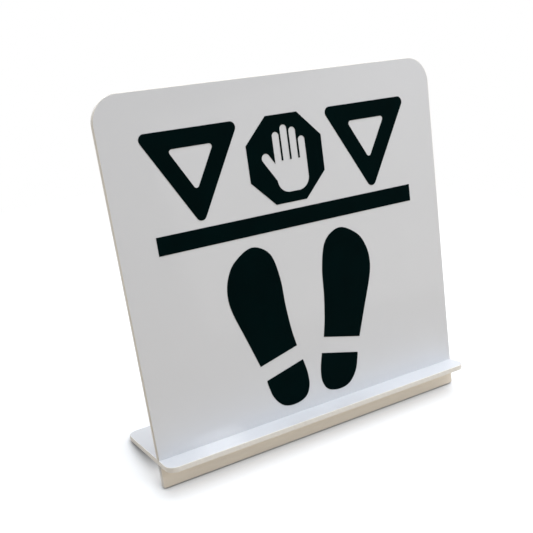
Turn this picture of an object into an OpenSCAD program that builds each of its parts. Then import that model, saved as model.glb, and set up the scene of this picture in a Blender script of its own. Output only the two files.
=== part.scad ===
// Tabletop stand sign: an upright panel and a base plate, both cut from one
// sheet, pushed into each other sideways along two half-width slots.
// The sign is drawn upright in its own frame, X across, Y from the panel's
// front face to the back, Z up the sheet, and is then leaned back onto its feet.

/* [Panel] */
// Width of the panel and of the base plate, whose ends are flush
sign_w = 200; // [194:1:300]
// Height of the panel, measured along the sheet
panel_h = 200; // [160:1:230]
// Thickness of the sheet that both plates are cut from
sheet_t = 3; // [2:0.5:5]
// Radius of the panel's two upper corners
top_corner_r = 14; // [2:1:30]
// Radius of the panel's two lower corners
low_corner_r = 1; // [0.5:0.5:5]

/* [Base plate] */
// Depth of the ledge in front of the panel
ledge_d = 14; // [8:1:30]
// Depth of the deck behind the panel
deck_d = 48; // [35:1:90]
// Height of the panel's foot strip under the base plate
foot_h = 13; // [8:0.5:20]
// Radius of the base plate's four corners
base_corner_r = 6; // [1:0.5:10]

/* [Halved joint] */
// Play between a plate and the slot that it fills
slot_play = 0.1; // [0.04:0.02:0.4]

/* [Film layout] */
// Thickness of the cut black film
film_t = 0.15; // [0.1:0.05:0.4]
// Bare margin at each side of the sign row and the line
side_margin = 20.5; // [10:0.5:23.5]
// Bare margin above the sign row
top_margin = 20; // [12:1:24]
// Height of the sign row, from flat to flat of the octagon
symbol_h = 46; // [40:1:48]
// Gap between the sign row and the line under it
line_gap = 3.8; // [2:0.2:8]
// Height of the line
line_h = 9.5; // [5:0.5:13]
// Gap between the line and the toes
toe_gap = 6; // [2:0.5:10]
// Bare gap between the heels and the base plate
heel_gap = 5.5; // [2:0.25:12]
// Distance from the middle of the sign to a heel's inner side
heel_from_middle = 4.2; // [1:0.2:20]

/* [Road signs] */
// Width of the triangles' black border
triangle_border = 9; // [5:0.5:11]
// Radius of the triangles' outer corners
triangle_corner_r = 3; // [1:0.5:4.5]
// Height of the raised hand cut out of the octagon
hand_h = 35; // [24:1:35]

/* [Hidden] */
$fn = 96;

// Extra length of a cutter past the face that it breaks through
past = 1;
// Points along each stretch of a smooth outline
curve_steps = 6;

// The panel's foot and the base plate's back edge rest on the table, which sets the lean
lean = atan(foot_h / deck_d);
base_top = foot_h + sheet_t;

// Film heights, counted down from the panel's top edge and up from the base plate,
// with the footprints filling the height that is left between the two
row_z = panel_h - top_margin - symbol_h;
line_z = row_z - line_gap - line_h;
heel_z = base_top + heel_gap;
foot_len = line_z - toe_gap - heel_z;
line_w = sign_w - 2 * side_margin;

// Depth range of the leaned sign, which puts the origin under the middle of it
function depth_at(y, z) = y * cos(lean) + z * sin(lean);
front_y = depth_at(-ledge_d, foot_h);
back_y = max(depth_at(sheet_t + deck_d, base_top), depth_at(sheet_t, panel_h));
middle_y = (front_y + back_y) / 2;

// Outline of a right footprint in shares of its length, from the inner corner of
// the cut round the toe to the outer one, then the heel the other way round
sole_points = foot_len * [[0.052, 0.36], [0.074, 0.47], [0.091, 0.62], [0.102, 0.79],
                          [0.146, 0.94], [0.256, 1], [0.376, 0.94], [0.432, 0.855],
                          [0.451, 0.76], [0.436, 0.655], [0.372, 0.47], [0.312, 0.296]];
heel_points = foot_len * [[0.024, 0.263], [0.003, 0.17], [0.003, 0.085],
                          [0.04, 0.022], [0.123, 0], [0.2, 0.019],
                          [0.255, 0.085], [0.28, 0.17], [0.284, 0.199]];

// Raised hand in shares of its height, measured from the middle of the palm's foot:
// the palm, the slits between the fingers, the fingertips from the thumb's side,
// the thumb, and how far the whole hand moves over to look centred
palm_w = 0.56 * hand_h;
palm_top = 0.48 * hand_h;
palm_corner_r = 0.2 * hand_h;
finger_slit = 0.03 * hand_h;
fingertips = hand_h * [0.91, 1, 0.95, 0.8];
thumb_w = 0.14 * hand_h;
thumb_root = hand_h * [-0.2, 0.2];
thumb_tip = hand_h * [-0.43, 0.55];
hand_shift = 0.08 * hand_h;

// Point at share t of the smooth stretch from b to c, whose neighbours are a and d
function curve_point(a, b, c, d, t) =
    0.5 * (2 * b + (c - a) * t + (2 * a - 5 * b + 4 * c - d) * t * t
           + (3 * b - a - 3 * c + d) * t * t * t);

// Smooth open curve through the points, to be closed by a straight cut
function smooth_curve(points) =
    let (last = len(points) - 1)
    concat([for (i = [0 : last - 1], s = [0 : curve_steps - 1])
                curve_point(points[max(i - 1, 0)], points[i], points[i + 1],
                            points[min(i + 2, last)], s / curve_steps)],
           [points[last]]);

// Leans the upright drawing back until its foot and base plate touch the table
module leaned() {
    translate([0, -middle_y, sheet_t * sin(lean)])
        rotate([-lean, 0, 0])
            children();
}

// Turns an outline drawn in X and Z into a sheet from its front face to the back
module upright_sheet(thickness) {
    translate([0, thickness, 0])
        rotate([90, 0, 0])
            linear_extrude(height = thickness)
                children();
}

// Black film on the panel's front face
module film() {
    color([0.01, 0.06, 0.06])
        leaned()
            translate([0, -film_t, 0])
                upright_sheet(film_t)
                    children();
}

// Waste outside a rounded corner, with the corner's tip at the origin
module corner_waste(r) {
    translate([-past, -past])
        difference() {
            square(r + past);
            translate([r + past, r + past])
                circle(r);
        }
}

// Rectangle centred on X and standing on it, with its own radius low and high
module rounded_rectangle(w, h, low_r, high_r) {
    difference() {
        translate([-w / 2, 0])
            square([w, h]);
        for (side = [0, 1])
            mirror([side, 0]) {
                translate([-w / 2, 0])
                    corner_waste(low_r);
                translate([-w / 2, h])
                    mirror([0, 1])
                        corner_waste(high_r);
            }
    }
}

// Bar with round ends from one point to another
module round_bar(from, to, w) {
    run = to - from;
    translate(from)
        rotate(atan2(run[1], run[0])) {
            translate([0, -w / 2])
                square([norm(run), w]);
            for (end = [0, norm(run)])
                translate([end, 0])
                    circle(w / 2);
        }
}

// Triangle that points down, h tall over its rounded corners and standing on one
module rounded_triangle(h, r) {
    half_side = (h - 2 * r) / sqrt(3);
    corners = [[0, r], [half_side, h - r], [-half_side, h - r]];
    polygon(corners);
    for (i = [0 : 2])
        round_bar(corners[i], corners[(i + 1) % 3], 2 * r);
}

// Width of such a triangle over its upper corners
function triangle_w(h, r) = 2 * (h - 2 * r) / sqrt(3) + 2 * r;

// Give-way triangle with a bare middle and an even border
module give_way() {
    inner_r = triangle_corner_r / 2;
    inner_h = symbol_h - 2 * triangle_corner_r + 2 * inner_r
              - 3 * (triangle_border - triangle_corner_r + inner_r);
    difference() {
        rounded_triangle(symbol_h, triangle_corner_r);
        translate([0, symbol_h - triangle_border - inner_h])
            rounded_triangle(inner_h, inner_r);
    }
}

// Octagon that stands on one of its flats
module octagon(h) {
    translate([0, h / 2])
        rotate(180 / 8)
            circle(h / 2 / cos(180 / 8), $fn = 8);
}

// Raised hand with its palm to the front, standing on X
module raised_hand() {
    finger_w = (palm_w - 3 * finger_slit) / 4;
    translate([hand_shift, 0]) {
        rounded_rectangle(palm_w, palm_top, palm_corner_r, finger_w / 2);
        for (i = [0 : 3])
            let (x = (finger_w - palm_w) / 2 + i * (finger_w + finger_slit))
                round_bar([x, palm_top - finger_w], [x, fingertips[i] - finger_w / 2], finger_w);
        round_bar(thumb_root, thumb_tip, thumb_w);
    }
}

// One part of a right footprint
module print_of(points) {
    translate([heel_from_middle, heel_z])
        polygon(smooth_curve(points));
}

// Upright panel, slotted from its left side to the middle for the base plate
module sign_panel() {
    color([0.94, 0.94, 0.94])
        leaned()
            upright_sheet(sheet_t)
                difference() {
                    rounded_rectangle(sign_w, panel_h, low_corner_r, top_corner_r);
                    translate([-sign_w / 2 - past, foot_h - slot_play / 2])
                        square([sign_w / 2 + past + slot_play / 2, sheet_t + slot_play]);
                }
}

// Base plate, slotted from its right end to the middle for the panel
module base_plate() {
    base_d = ledge_d + sheet_t + deck_d;
    color([0.94, 0.94, 0.94])
        leaned()
            translate([0, 0, foot_h])
                linear_extrude(height = sheet_t)
                    difference() {
                        translate([0, -ledge_d])
                            rounded_rectangle(sign_w, base_d, base_corner_r, base_corner_r);
                        translate([-slot_play / 2, -slot_play / 2])
                            square([sign_w / 2 + past + slot_play / 2, sheet_t + slot_play]);
                    }
}

// Octagon with the raised hand left bare, in the middle of the sign row
module octagon_hand() {
    film()
        translate([0, row_z])
            difference() {
                octagon(symbol_h);
                translate([0, (symbol_h - hand_h) / 2])
                    raised_hand();
            }
}

// Give-way triangle at one end of the sign row
module end_triangle(side) {
    film()
        translate([side * (line_w - triangle_w(symbol_h, triangle_corner_r)) / 2, row_z])
            give_way();
}

module triangle_left() {
    end_triangle(-1);
}

module triangle_right() {
    end_triangle(1);
}

// Line under the sign row
module line_bar() {
    film()
        translate([-line_w / 2, line_z])
            square([line_w, line_h]);
}

module sole_right() {
    film()
        print_of(sole_points);
}

module heel_right() {
    film()
        print_of(heel_points);
}

module sole_left() {
    film()
        mirror([1, 0])
            print_of(sole_points);
}

module heel_left() {
    film()
        mirror([1, 0])
            print_of(heel_points);
}

sign_panel();
base_plate();
octagon_hand();
triangle_left();
triangle_right();
line_bar();
sole_left();
heel_left();
sole_right();
heel_right();
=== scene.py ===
import math

import bmesh
import bpy
from bpy.props import FloatProperty, FloatVectorProperty, IntProperty, PointerProperty
from bpy.types import Operator, Panel, PropertyGroup
from mathutils import Euler, Matrix, Vector


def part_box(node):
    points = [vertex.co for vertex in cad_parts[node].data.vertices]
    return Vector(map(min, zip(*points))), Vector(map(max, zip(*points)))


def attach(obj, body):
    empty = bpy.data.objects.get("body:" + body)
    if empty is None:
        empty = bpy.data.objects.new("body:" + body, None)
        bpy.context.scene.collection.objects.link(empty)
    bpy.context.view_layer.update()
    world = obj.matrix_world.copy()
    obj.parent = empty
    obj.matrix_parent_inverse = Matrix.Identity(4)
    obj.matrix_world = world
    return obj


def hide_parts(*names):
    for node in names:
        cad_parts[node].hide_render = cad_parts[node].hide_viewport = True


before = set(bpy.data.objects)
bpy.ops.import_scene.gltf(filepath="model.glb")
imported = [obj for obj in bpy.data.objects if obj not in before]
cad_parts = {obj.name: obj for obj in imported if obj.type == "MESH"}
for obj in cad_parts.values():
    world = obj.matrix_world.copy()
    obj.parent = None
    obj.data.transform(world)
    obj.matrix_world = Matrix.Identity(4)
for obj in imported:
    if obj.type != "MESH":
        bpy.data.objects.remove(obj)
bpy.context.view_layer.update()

bl_info = {
    "name": "Tabletop stand sign",
    "version": (1, 0, 0),
    "blender": (4, 5, 0),
    "location": "3D View > Sidebar > Stand Sign",
    "description": "Two glossy white sheets halved into each other, with cut black film",
    "category": "Object",
}

MM = 0.001
SAME_SPOT = 0.01 * MM

# What the frame says: the sign's width, its film pieces and the line that the panel stands on
PANEL_LOW, PANEL_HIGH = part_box("sign_panel")
SIGN_WIDTH = PANEL_HIGH.x - PANEL_LOW.x
FILM_NODES = [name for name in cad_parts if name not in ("sign_panel", "base_plate")]

# Cut sizes of the two plates, from which the lean follows
SHEET_THICKNESS = 3 * MM
FOOT_HEIGHT = 13 * MM
LEDGE_DEPTH = 14 * MM
DECK_DEPTH = 48 * MM
LEAN = math.atan2(FOOT_HEIGHT, DECK_DEPTH)
PANEL_HEIGHT = (PANEL_HIGH.z - SHEET_THICKNESS * math.sin(LEAN)) / math.cos(LEAN)


class SheetSizes(PropertyGroup):
    """Sizes of the two plates, measured flat on the sheet that they are cut from"""

    width: FloatProperty(
        name="Width", description="Width of the panel and of the base plate",
        default=SIGN_WIDTH, min=0.1, max=0.4, unit="LENGTH")
    panel_height: FloatProperty(
        name="Panel height", description="Height of the panel along the sheet",
        default=PANEL_HEIGHT, min=0.1, max=0.4, unit="LENGTH")
    thickness: FloatProperty(
        name="Thickness", description="Thickness of the sheet",
        default=SHEET_THICKNESS, min=0.001, max=0.008, unit="LENGTH")
    foot_height: FloatProperty(
        name="Foot height", description="Height of the foot strip under the base plate",
        default=FOOT_HEIGHT, min=0.004, max=0.03, unit="LENGTH")
    ledge_depth: FloatProperty(
        name="Ledge depth", description="Depth of the base plate in front of the panel",
        default=LEDGE_DEPTH, min=0.004, max=0.05, unit="LENGTH")
    deck_depth: FloatProperty(
        name="Deck depth", description="Depth of the base plate behind the panel",
        default=DECK_DEPTH, min=0.02, max=0.12, unit="LENGTH")
    top_corner_radius: FloatProperty(
        name="Top corner radius", description="Radius of the panel's two upper corners",
        default=14 * MM, min=0.001, max=0.04, unit="LENGTH")
    low_corner_radius: FloatProperty(
        name="Low corner radius", description="Radius of the panel's two lower corners",
        default=1 * MM, min=0.0005, max=0.01, unit="LENGTH")
    base_corner_radius: FloatProperty(
        name="Base corner radius", description="Radius of the base plate's four corners",
        default=6 * MM, min=0.001, max=0.02, unit="LENGTH")
    slot_play: FloatProperty(
        name="Slot play", description="Play between a plate and the slot that it fills",
        default=0.1 * MM, min=0.00002, max=0.001, unit="LENGTH")
    eased_edge: FloatProperty(
        name="Eased edge", description="Width taken off the sharp edges of both plates",
        default=0.35 * MM, min=0.00005, max=0.001, unit="LENGTH")
    corner_steps: IntProperty(
        name="Corner steps", description="Faces round each large corner",
        default=20, min=4, max=64)


class Finishes(PropertyGroup):
    """Colours and gloss of the acrylic and of the film"""

    sheet_color: FloatVectorProperty(
        name="Sheet colour", description="Colour of the acrylic's glossy faces",
        default=(0.72, 0.74, 0.775), min=0, max=1, size=3, subtype="COLOR")
    sheet_roughness: FloatProperty(
        name="Sheet roughness", description="Roughness of the glossy faces",
        default=0.06, min=0, max=1, subtype="FACTOR")
    # Painted glow: warm, lighter colour for the foot strip, standing in for light bounced from
    # the table and scattered in the opal sheet
    painted_foot_glow_color: FloatVectorProperty(
        name="Foot colour", description="Colour of the panel's foot strip, which glows warmly",
        default=(0.92, 0.86, 0.76), min=0, max=1, size=3, subtype="COLOR")
    edge_color: FloatVectorProperty(
        name="Edge colour", description="Colour of the cut edges, warmer than the faces",
        default=(0.82, 0.80, 0.755), min=0, max=1, size=3, subtype="COLOR")
    edge_roughness: FloatProperty(
        name="Edge roughness", description="Roughness of the cut edges",
        default=0.38, min=0, max=1, subtype="FACTOR")
    film_color: FloatVectorProperty(
        name="Film colour", description="Colour of the cut film",
        default=(0.0, 0.0045, 0.0048), min=0, max=1, size=3, subtype="COLOR")
    film_roughness: FloatProperty(
        name="Film roughness", description="Roughness of the film",
        default=0.5, min=0, max=1, subtype="FACTOR")


class StudioSettings(PropertyGroup):
    """Camera, floor and soft light"""

    focal_length: FloatProperty(
        name="Focal length", description="Focal length of the lens in millimetres",
        default=52.353, min=10, max=300)
    azimuth: FloatProperty(
        name="Azimuth", description="How far the camera stands to the left of the front",
        default=math.radians(30.699), subtype="ANGLE")
    elevation: FloatProperty(
        name="Elevation", description="How far the camera looks down",
        default=math.radians(29.204), subtype="ANGLE")
    roll: FloatProperty(
        name="Roll", description="Turn of the camera about its own line of sight",
        default=math.radians(-0.207), subtype="ANGLE")
    distance: FloatProperty(
        name="Distance", description="Distance from the camera to the point that it aims at",
        default=0.40325, min=0.1, max=5, unit="LENGTH")
    aim_side: FloatProperty(
        name="Aim to the left", description="How far left of the middle the camera aims",
        default=29.84 * MM, unit="LENGTH")
    aim_height: FloatProperty(
        name="Aim height", description="Height above the table of the point aimed at",
        default=76.27 * MM, unit="LENGTH")
    optical_centre: FloatVectorProperty(
        name="Optical centre", description="Pixels right of and below the picture's middle",
        default=(11.52, 63.94), size=2)
    horizon_light: FloatProperty(
        name="Horizon light", description="Strength of the light from all round, low down",
        default=0.36, min=0, max=5)
    horizon_color: FloatVectorProperty(
        name="Horizon colour", description="Colour of the light from all round, low down",
        default=(1.0, 0.9, 0.77), min=0, max=1, size=3, subtype="COLOR")
    zenith_light: FloatProperty(
        name="Zenith light", description="Strength of the light from overhead",
        default=0.554, min=0, max=5)
    zenith_color: FloatVectorProperty(
        name="Zenith colour", description="Colour of the light from overhead",
        default=(0.92, 0.95, 1.0), min=0, max=1, size=3, subtype="COLOR")
    floor_bounce: FloatVectorProperty(
        name="Floor bounce", description="Colour of the light that the table throws back",
        default=(0.53, 0.45, 0.345), min=0, max=1, size=3, subtype="COLOR")
    floor_paper: FloatVectorProperty(
        name="Floor paper", description="Colour of the table where the camera sees it",
        default=(0.565, 0.58, 0.6), min=0, max=1, size=3, subtype="COLOR")
    floor_lift: FloatProperty(
        name="Floor lift", description="Light added to the table where the camera sees it",
        default=0.525, min=0, max=1)
    # Painted shadow: within this reach of the sign the table's added light is dimmed, on top of
    # the real shadow
    contact_reach: FloatProperty(
        name="Contact reach", description="How far from the sign the table loses that light",
        default=10 * MM, min=0.001, max=0.1, unit="LENGTH")


class StandSign(PropertyGroup):
    """Everything that a user can change about the stand sign"""

    sheet: PointerProperty(type=SheetSizes)
    finish: PointerProperty(type=Finishes)
    studio: PointerProperty(type=StudioSettings)


def settings():
    """The stand sign's settings, kept on the scene."""
    return bpy.context.scene.stand_sign


def lean_of(sheet):
    """Angle at which the foot and the base plate's back edge both touch the table."""
    return math.atan2(sheet.foot_height, sheet.deck_depth)


def leaned(sheet):
    """Matrix from the upright sign, with its front foot edge at zero, to its leaned place."""
    lean = lean_of(sheet)
    foot = Vector((0, PANEL_LOW.y, sheet.thickness * math.sin(lean)))
    return Matrix.Translation(foot) @ Matrix.Rotation(-lean, 4, "X")


# Nodes that all the materials are made of

def add_node(tree, kind, inputs=None, **options):
    """A shader node with its options and unlinked inputs set."""
    node = tree.nodes.new(kind)
    for name, value in options.items():
        setattr(node, name, value)
    for name, value in (inputs or {}).items():
        node.inputs[name].default_value = value
    return node


def new_material(name):
    """An empty node material and its node tree, with the output node in place."""
    material = bpy.data.materials.new(name)
    material.use_nodes = True
    tree = material.node_tree
    tree.nodes.clear()
    output = add_node(tree, "ShaderNodeOutputMaterial")
    return material, tree, output


def new_plastic(name, inputs):
    """A plastic's material, its node tree and its shader, with these inputs set."""
    material, tree, output = new_material(name)
    shader = add_node(tree, "ShaderNodeBsdfPrincipled", inputs)
    tree.links.new(shader.outputs["BSDF"], output.inputs["Surface"])
    return material, tree, shader


def link_finish(tree, shader, color, roughness, normal):
    """Links what varies over a surface to its shader."""
    tree.links.new(color, shader.inputs["Base Color"])
    tree.links.new(roughness, shader.inputs["Roughness"])
    tree.links.new(normal, shader.inputs["Normal"])


def object_coordinates(tree, scale=(1, 1, 1), turn=(0, 0, 0)):
    """Object coordinates, scaled and then turned."""
    coordinates = add_node(tree, "ShaderNodeTexCoord")
    mapping = add_node(tree, "ShaderNodeMapping", {"Scale": scale, "Rotation": turn})
    tree.links.new(coordinates.outputs["Object"], mapping.inputs["Vector"])
    return mapping.outputs["Vector"]


def noise(tree, vector, waves, detail, roughness=0.5):
    """Soft noise along a vector, with about this many waves to its unit."""
    node = add_node(tree, "ShaderNodeTexNoise",
                    {"Scale": waves, "Detail": detail, "Roughness": roughness})
    tree.links.new(vector, node.inputs["Vector"])
    return node.outputs["Fac"]


def spread(tree, value, low, high, out_low=0, out_high=1):
    """Maps a value from one range to another."""
    node = add_node(tree, "ShaderNodeMapRange",
                    {"From Min": low, "From Max": high, "To Min": out_low, "To Max": out_high})
    tree.links.new(value, node.inputs["Value"])
    return node.outputs["Result"]


def blended(tree, factor, first, second):
    """One colour at factor zero, another at factor one. Either is linked or plain."""
    node = add_node(tree, "ShaderNodeMix", data_type="RGBA")
    tree.links.new(factor, node.inputs["Factor"])
    for name, color in (("A", first), ("B", second)):
        if isinstance(color, bpy.types.NodeSocket):
            tree.links.new(color, node.inputs[name])
        else:
            node.inputs[name].default_value = (*color, 1)
    return node.outputs["Result"]


def bumped(tree, height, distance, strength):
    """A normal raised by a height, with the distance in metres."""
    node = add_node(tree, "ShaderNodeBump", {"Distance": distance, "Strength": strength})
    tree.links.new(height, node.inputs["Height"])
    return node.outputs["Normal"]


def mix_shaders(tree, factor, first, second):
    """One shader at factor zero, the other at factor one."""
    mixed = add_node(tree, "ShaderNodeMixShader")
    tree.links.new(factor, mixed.inputs["Fac"])
    tree.links.new(first, mixed.inputs[1])
    tree.links.new(second, mixed.inputs[2])
    return mixed.outputs["Shader"]


# Acrylic and film

ACRYLIC_IOR = 1.49
FILM_IOR = 1.45
FILM_SPECULAR = 0.015

# Values that a soft noise mostly keeps between
NOISE_LOW = 0.3
NOISE_HIGH = 0.7

# Share of the foot strip's height up to which its painted warm glow is full; the glow stands in
# for light bounced from the table and scattered in the sheet
PAINTED_GLOW_FULL = 0.8

# Wiping marks on the faces: waves per metre along X, Y and Z, and the turn of the pattern
WIPE_WAVES = (18, 18, 160)
WIPE_TURN = (0, 0.35, 0)

# Marks on the cut edges, in waves per metre: slow across the sheet's thickness
PANEL_EDGE_WAVES = (900, 60, 900)
BASE_EDGE_WAVES = (900, 900, 60)


def scaled_color(color, share):
    """A colour made lighter or darker by a share."""
    return tuple(min(1.0, channel * share) for channel in color)


def uneven_color(tree, value, color, darkest, lightest):
    """A colour that a noise moves between two shares of itself."""
    factor = spread(tree, value, NOISE_LOW, NOISE_HIGH)
    return blended(tree, factor, scaled_color(color, darkest), scaled_color(color, lightest))


def uneven_roughness(tree, value, roughness, smoothest, roughest, noise_high=NOISE_HIGH):
    """A roughness that a noise moves between two shares of itself."""
    return spread(tree, value, NOISE_LOW, noise_high, roughness * smoothest, roughness * roughest)


def painted_foot_glow(tree, sheet):
    """Painted glow: one on the panel's foot strip, where warm bounced and scattered light is
    painted into the colour, and zero from the base plate's underside up.
    """
    lean = lean_of(sheet)
    up_sheet = Vector((0, math.sin(lean), math.cos(lean)))
    foot_line = leaned(sheet).translation.dot(up_sheet)
    upright = add_node(tree, "ShaderNodeSeparateXYZ")
    tree.links.new(object_coordinates(tree, turn=(lean, 0, 0)), upright.inputs["Vector"])
    return spread(tree, upright.outputs["Z"], foot_line + sheet.foot_height * PAINTED_GLOW_FULL,
                  foot_line + sheet.foot_height, out_low=1, out_high=0)


def glossy_sheet(finish, sheet):
    """Opal white acrylic face: glossy, very slightly wavy, with faint wiping marks and a painted
    warm glow on the foot strip.
    """
    material, tree, shader = new_plastic("opal_white_acrylic", {"IOR": ACRYLIC_IOR})
    plain = object_coordinates(tree)
    cloud = noise(tree, plain, waves=14, detail=3)
    color = uneven_color(tree, cloud, finish.sheet_color, darkest=0.985, lightest=1.01)
    # Painted glow: the foot strip's colour turns warm and light in place of bounced and scattered
    # light
    color = blended(tree, painted_foot_glow(tree, sheet), color, finish.painted_foot_glow_color)
    wiped = object_coordinates(tree, WIPE_WAVES, WIPE_TURN)
    marks = noise(tree, wiped, waves=1, detail=4, roughness=0.6)
    roughness = uneven_roughness(tree, marks, finish.sheet_roughness,
                                 smoothest=0.8, roughest=1.35, noise_high=0.75)
    wave = noise(tree, plain, waves=30, detail=1)
    normal = bumped(tree, wave, distance=0.4 * MM, strength=0.12)
    link_finish(tree, shader, color, roughness, normal)
    return material


def cut_edge(name, finish, sheet, edge_waves):
    """Cut edge of the acrylic: satin, warmer, with fine marks across the thickness."""
    material, tree, shader = new_plastic(name, {"IOR": ACRYLIC_IOR})
    across = object_coordinates(tree, edge_waves, turn=(lean_of(sheet), 0, 0))
    marks = noise(tree, across, waves=1, detail=3, roughness=0.6)
    color = uneven_color(tree, marks, finish.edge_color, darkest=0.975, lightest=1.015)
    roughness = uneven_roughness(tree, marks, finish.edge_roughness,
                                 smoothest=0.85, roughest=1.2)
    normal = bumped(tree, marks, distance=0.02 * MM, strength=0.35)
    link_finish(tree, shader, color, roughness, normal)
    return material


def black_film(finish):
    """Cut black film: nearly matte, with a fine grain and faint patches."""
    material, tree, shader = new_plastic(
        "black_film", {"IOR": FILM_IOR, "Specular IOR Level": FILM_SPECULAR})
    plain = object_coordinates(tree)
    patches = noise(tree, plain, waves=60, detail=3)
    color = uneven_color(tree, patches, finish.film_color, darkest=0.85, lightest=1.15)
    roughness = uneven_roughness(tree, patches, finish.film_roughness,
                                 smoothest=0.9, roughest=1.1)
    grain = noise(tree, plain, waves=2500, detail=2)
    normal = bumped(tree, grain, distance=0.02 * MM, strength=0.3)
    link_finish(tree, shader, color, roughness, normal)
    return material


def sheet_materials(edge_name, edge_waves):
    """Materials of a plate: the glossy faces, shared by both plates, and its own cut edge."""
    sheet = settings().sheet
    finish = settings().finish
    faces = bpy.data.materials.get("opal_white_acrylic") or glossy_sheet(finish, sheet)
    return [faces, cut_edge(edge_name, finish, sheet, edge_waves)]


# The two plates

# A face whose normal is at least this upright is one of a blank's two glossy sides
GLOSSY_NORMAL = 0.999
EASED_STEPS = 3


def cut_outline(points, thickness):
    """A flat blank with this outline in X and Y, extruded up to its thickness."""
    blank = bmesh.new()
    outline = blank.faces.new([blank.verts.new((x, y, 0)) for x, y in points])
    grown = bmesh.ops.extrude_face_region(blank, geom=[outline])
    top = [item for item in grown["geom"] if isinstance(item, bmesh.types.BMVert)]
    bmesh.ops.translate(blank, verts=top, vec=(0, 0, thickness))
    bmesh.ops.recalc_face_normals(blank, faces=blank.faces)
    return blank


def is_glossy(face):
    """Whether a face of a blank is one of its two glossy sides."""
    return abs(face.normal.z) > GLOSSY_NORMAL


def round_edges(blank, belongs, width, steps):
    """Rounds those edges of a blank that belong, over this width."""
    bmesh.ops.bevel(blank, geom=[edge for edge in blank.edges if belongs(edge)],
                    offset=width, offset_type="OFFSET", affect="EDGES", segments=steps,
                    profile=0.5, material=-1)


def round_corners(blank, corners, radius, steps):
    """Rounds the through edges of a blank that stand at these corners."""
    def stands_here(edge):
        low, high = (vertex.co.xy for vertex in edge.verts)
        is_through = (low - high).length < SAME_SPOT
        return is_through and any((low - Vector(spot)).length < SAME_SPOT for spot in corners)

    round_edges(blank, stands_here, radius, steps)


def ease_edges(blank, slot, width):
    """Takes the sharpness off a blank's outer edges, but not off those round its slot."""
    slot_ranges = [(min(along) - SAME_SPOT, max(along) + SAME_SPOT) for along in zip(*slot)]

    def is_outer(edge):
        middle = (edge.verts[0].co + edge.verts[1].co) / 2
        in_slot = all(low < middle[axis] < high for axis, (low, high) in enumerate(slot_ranges))
        first, second = edge.link_faces
        return is_glossy(first) != is_glossy(second) and not in_slot

    round_edges(blank, is_outer, width, EASED_STEPS)


def finish_sheet(blank, name, place, materials, node):
    """Puts a finished blank in its place as a piece that stands for its node."""
    blank.normal_update()
    for face in blank.faces:
        face.material_index = 0 if is_glossy(face) else 1
        face.smooth = True
    bmesh.ops.transform(blank, matrix=place, verts=blank.verts)
    mesh = bpy.data.meshes.new(name)
    blank.to_mesh(mesh)
    blank.free()
    for material in materials:
        mesh.materials.append(material)
    piece = bpy.data.objects.new(name, mesh)
    bpy.context.scene.collection.objects.link(piece)
    even = piece.modifiers.new("even_shading", "WEIGHTED_NORMAL")
    even.keep_sharp = True
    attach(piece, "root")
    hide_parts(node)


class SIGN_OT_panel(Operator):
    """Cut the upright panel, slotted from its left side to the middle"""

    bl_idname = "stand_sign.panel"
    bl_label = "Upright panel"

    def execute(self, context):
        sheet = settings().sheet
        side = sheet.width / 2
        play = sheet.slot_play / 2
        low = sheet.foot_height - play
        high = sheet.foot_height + sheet.thickness + play
        feet = [(-side, 0), (side, 0)]
        shoulders = [(side, sheet.panel_height), (-side, sheet.panel_height)]
        slot = [(-side, high), (play, high), (play, low), (-side, low)]
        blank = cut_outline(feet + shoulders + slot, sheet.thickness)
        round_corners(blank, shoulders, sheet.top_corner_radius, sheet.corner_steps)
        round_corners(blank, feet, sheet.low_corner_radius, sheet.corner_steps // 2)
        ease_edges(blank, slot, sheet.eased_edge)
        quarter_turn = Matrix.Rotation(math.pi / 2, 4, "X")
        stand_up = Matrix.Translation((0, sheet.thickness, 0)) @ quarter_turn
        finish_sheet(blank, "panel_sheet", leaned(sheet) @ stand_up,
                     sheet_materials("panel_cut_edge", PANEL_EDGE_WAVES), "sign_panel")
        return {"FINISHED"}


class SIGN_OT_base(Operator):
    """Cut the base plate, slotted from its right end to the middle"""

    bl_idname = "stand_sign.base"
    bl_label = "Base plate"

    def execute(self, context):
        sheet = settings().sheet
        side = sheet.width / 2
        play = sheet.slot_play / 2
        front = -sheet.ledge_depth
        back = sheet.thickness + sheet.deck_depth
        near = -play
        far = sheet.thickness + play
        corners = [(-side, front), (side, front), (side, back), (-side, back)]
        slot = [(side, near), (-play, near), (-play, far), (side, far)]
        blank = cut_outline(corners[:2] + slot + corners[2:], sheet.thickness)
        round_corners(blank, corners, sheet.base_corner_radius, sheet.corner_steps)
        ease_edges(blank, slot, sheet.eased_edge)
        lift = Matrix.Translation((0, 0, sheet.foot_height))
        finish_sheet(blank, "base_sheet", leaned(sheet) @ lift,
                     sheet_materials("base_cut_edge", BASE_EDGE_WAVES), "base_plate")
        return {"FINISHED"}


class SIGN_OT_film(Operator):
    """Dress the cut film pieces in black film"""

    bl_idname = "stand_sign.film"
    bl_label = "Cut film"

    def execute(self, context):
        material = black_film(settings().finish)
        for name in FILM_NODES:
            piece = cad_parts[name]
            piece.data.materials.clear()
            piece.data.materials.append(material)
        return {"FINISHED"}


# Floor, light and camera

PHOTO_SIDE = 533
SENSOR_WIDTH = 36.0

FLOOR_RADIUS = 6
FLOOR_SIDES = 96

# Distances from the origin, in metres, between which the table fades to plain white
FADE_START = 0.2
FADE_END = 0.45

# Shares of open surroundings between which the table gets its added light back; nearer the sign
# the added light fades, a painted contact shadow on top of the real one
CLOSED_IN = 0.28
WIDE_OPEN = 0.93
OPENNESS_SAMPLES = 8

# Heights of a direction between which the horizon's light becomes the zenith's
HORIZON_TOP = 0.1
ZENITH_START = 0.6

# Point that every softbox faces
LAMP_TARGET = (0, 0, 0.08)

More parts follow.
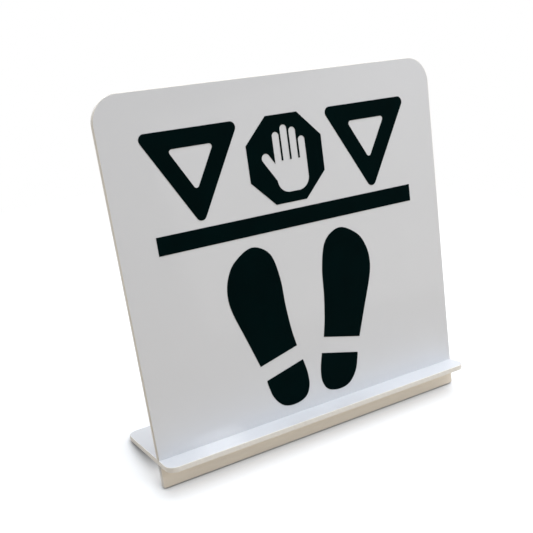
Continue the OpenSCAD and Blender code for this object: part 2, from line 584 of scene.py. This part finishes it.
# Each softbox's name, place, width and height in metres, power in watts and colour
LAMPS = (
    ("overhead_softbox", (0.28, 0.1, 1.06), (0.9, 0.9), 10.3, (0.94, 0.965, 1.0)),
    ("right_softbox", (1.0, -0.35, 0.6), (0.8, 0.8), 1.3, (1.0, 1.0, 1.0)),
    ("back_softbox", (-0.2, 1.05, 0.5), (0.8, 0.8), 2.2, (0.97, 0.98, 1.0)),
    ("front_softbox", (0.56, -0.87, 0.24), (0.55, 0.44), 0.3, (1.0, 1.0, 1.0)),
    ("small_lamp", (0.277, -0.751, 0.616), (0.09, 0.045), 0.7, (1.0, 1.0, 1.0)),
)


def seen_directly(tree):
    """One for rays from the camera, a reflection or a clear surface, and zero for others."""
    path = add_node(tree, "ShaderNodeLightPath")
    either = path.outputs["Is Camera Ray"]
    for name in ("Is Glossy Ray", "Is Transmission Ray"):
        larger = add_node(tree, "ShaderNodeMath", operation="MAXIMUM")
        tree.links.new(either, larger.inputs[0])
        tree.links.new(path.outputs[name], larger.inputs[1])
        either = larger.outputs["Value"]
    return either


def floor_material(studio):
    """White table that keeps the sign's real shadow, dims its added light near the sign as a
    painted contact shadow, and throws back a warm light.
    """
    material, tree, output = new_material("pale_table")
    bounce = add_node(tree, "ShaderNodeBsdfDiffuse", {"Color": (*studio.floor_bounce, 1)})
    paper = add_node(tree, "ShaderNodeBsdfDiffuse", {"Color": (*studio.floor_paper, 1)})
    # Painted shadow: the added light is taken away where the sign closes in the table, deepening
    # the contact shadow
    openness = add_node(tree, "ShaderNodeAmbientOcclusion", {"Distance": studio.contact_reach},
                        samples=OPENNESS_SAMPLES)
    lift = add_node(tree, "ShaderNodeEmission")
    glow = spread(tree, openness.outputs["AO"], CLOSED_IN, WIDE_OPEN, 0, studio.floor_lift)
    tree.links.new(glow, lift.inputs["Strength"])
    shaded = add_node(tree, "ShaderNodeAddShader")
    tree.links.new(paper.outputs["BSDF"], shaded.inputs[0])
    tree.links.new(lift.outputs["Emission"], shaded.inputs[1])
    white = add_node(tree, "ShaderNodeEmission", {"Strength": 1.0})
    coordinates = add_node(tree, "ShaderNodeTexCoord")
    reach = add_node(tree, "ShaderNodeVectorMath", operation="LENGTH")
    tree.links.new(coordinates.outputs["Object"], reach.inputs["Vector"])
    far = spread(tree, reach.outputs["Value"], FADE_START, FADE_END)
    seen = mix_shaders(tree, far, shaded.outputs["Shader"], white.outputs["Emission"])
    chosen = mix_shaders(tree, seen_directly(tree), bounce.outputs["BSDF"], seen)
    tree.links.new(chosen, output.inputs["Surface"])
    return material


def lay_floor(studio):
    """A large plain floor under the sign."""
    ground = bmesh.new()
    bmesh.ops.create_circle(ground, cap_ends=True, segments=FLOOR_SIDES, radius=FLOOR_RADIUS)
    mesh = bpy.data.meshes.new("table_top")
    ground.to_mesh(mesh)
    ground.free()
    mesh.materials.append(floor_material(studio))
    floor = bpy.data.objects.new("table_top", mesh)
    bpy.context.scene.collection.objects.link(floor)


def light_room(studio):
    """Soft light from all round, from the horizon up to the zenith, seen as plain white."""
    world = bpy.data.worlds.new("white_room")
    world.use_nodes = True
    bpy.context.scene.world = world
    tree = world.node_tree
    tree.nodes.clear()
    output = add_node(tree, "ShaderNodeOutputWorld")
    low = add_node(tree, "ShaderNodeBackground",
                   {"Color": (*studio.horizon_color, 1), "Strength": studio.horizon_light})
    high = add_node(tree, "ShaderNodeBackground",
                    {"Color": (*studio.zenith_color, 1), "Strength": studio.zenith_light})
    white = add_node(tree, "ShaderNodeBackground", {"Color": (1, 1, 1, 1), "Strength": 1.0})
    direction = add_node(tree, "ShaderNodeTexCoord")
    parts = add_node(tree, "ShaderNodeSeparateXYZ")
    tree.links.new(direction.outputs["Generated"], parts.inputs["Vector"])
    height = spread(tree, parts.outputs["Z"], HORIZON_TOP, ZENITH_START)
    light = mix_shaders(tree, height, low.outputs["Background"], high.outputs["Background"])
    chosen = mix_shaders(tree, seen_directly(tree), light, white.outputs["Background"])
    tree.links.new(chosen, output.inputs["Surface"])


def hang_lamp(name, place, size, power, color):
    """A softbox that hangs at a place, is this wide and high, and faces the sign."""
    lamp = bpy.data.lights.new(name, "AREA")
    lamp.shape = "RECTANGLE"
    lamp.size, lamp.size_y = size
    lamp.energy = power
    lamp.color = color
    holder = bpy.data.objects.new(name, lamp)
    holder.location = place
    facing = Vector(LAMP_TARGET) - holder.location
    holder.rotation_euler = facing.to_track_quat("-Z", "Y").to_euler()
    holder.visible_camera = False
    bpy.context.scene.collection.objects.link(holder)


def place_camera(studio):
    """A camera at the photograph's viewing angle and framing."""
    lens = bpy.data.cameras.new("photo_camera")
    lens.sensor_width = SENSOR_WIDTH
    lens.lens = studio.focal_length
    lens.shift_x = -studio.optical_centre[0] / PHOTO_SIDE
    lens.shift_y = studio.optical_centre[1] / PHOTO_SIDE
    camera = bpy.data.objects.new("photo_camera", lens)
    bpy.context.scene.collection.objects.link(camera)
    facing = Euler((math.pi / 2 - studio.elevation, 0, -studio.azimuth)).to_matrix().to_4x4()
    facing = facing @ Matrix.Rotation(studio.roll, 4, "Z")
    aim = Matrix.Translation((-studio.aim_side, PANEL_LOW.y, studio.aim_height))
    camera.matrix_world = aim @ facing @ Matrix.Translation((0, 0, studio.distance))
    bpy.context.scene.camera = camera


class SIGN_OT_stage(Operator):
    """Set up the floor, the soft light and the camera"""

    bl_idname = "stand_sign.stage"
    bl_label = "Stage"

    def execute(self, context):
        studio = settings().studio
        context.scene.view_settings.view_transform = "Standard"
        lay_floor(studio)
        light_room(studio)
        for lamp in LAMPS:
            hang_lamp(*lamp)
        place_camera(studio)
        return {"FINISHED"}


class SIGN_PT_sidebar(Panel):
    """Lists the sign's pieces and its settings"""

    bl_label = "Stand Sign"
    bl_idname = "SIGN_PT_sidebar"
    bl_space_type = "VIEW_3D"
    bl_region_type = "UI"
    bl_category = "Stand Sign"

    def draw(self, context):
        layout = self.layout
        for operator in OPERATORS:
            layout.operator(operator.bl_idname)
        for group in (settings().sheet, settings().finish, settings().studio):
            box = layout.box()
            for name in group.__annotations__:
                box.prop(group, name)


OPERATORS = (SIGN_OT_panel, SIGN_OT_base, SIGN_OT_film, SIGN_OT_stage)
CLASSES = (SheetSizes, Finishes, StudioSettings, StandSign, *OPERATORS, SIGN_PT_sidebar)


def register():
    for cls in CLASSES:
        bpy.utils.register_class(cls)
    bpy.types.Scene.stand_sign = PointerProperty(type=StandSign)


def unregister():
    del bpy.types.Scene.stand_sign
    for cls in reversed(CLASSES):
        bpy.utils.unregister_class(cls)


def main():
    register()
    bpy.ops.stand_sign.panel()
    bpy.ops.stand_sign.base()
    bpy.ops.stand_sign.film()
    bpy.ops.stand_sign.stage()


if __name__ == "__main__":
    main()
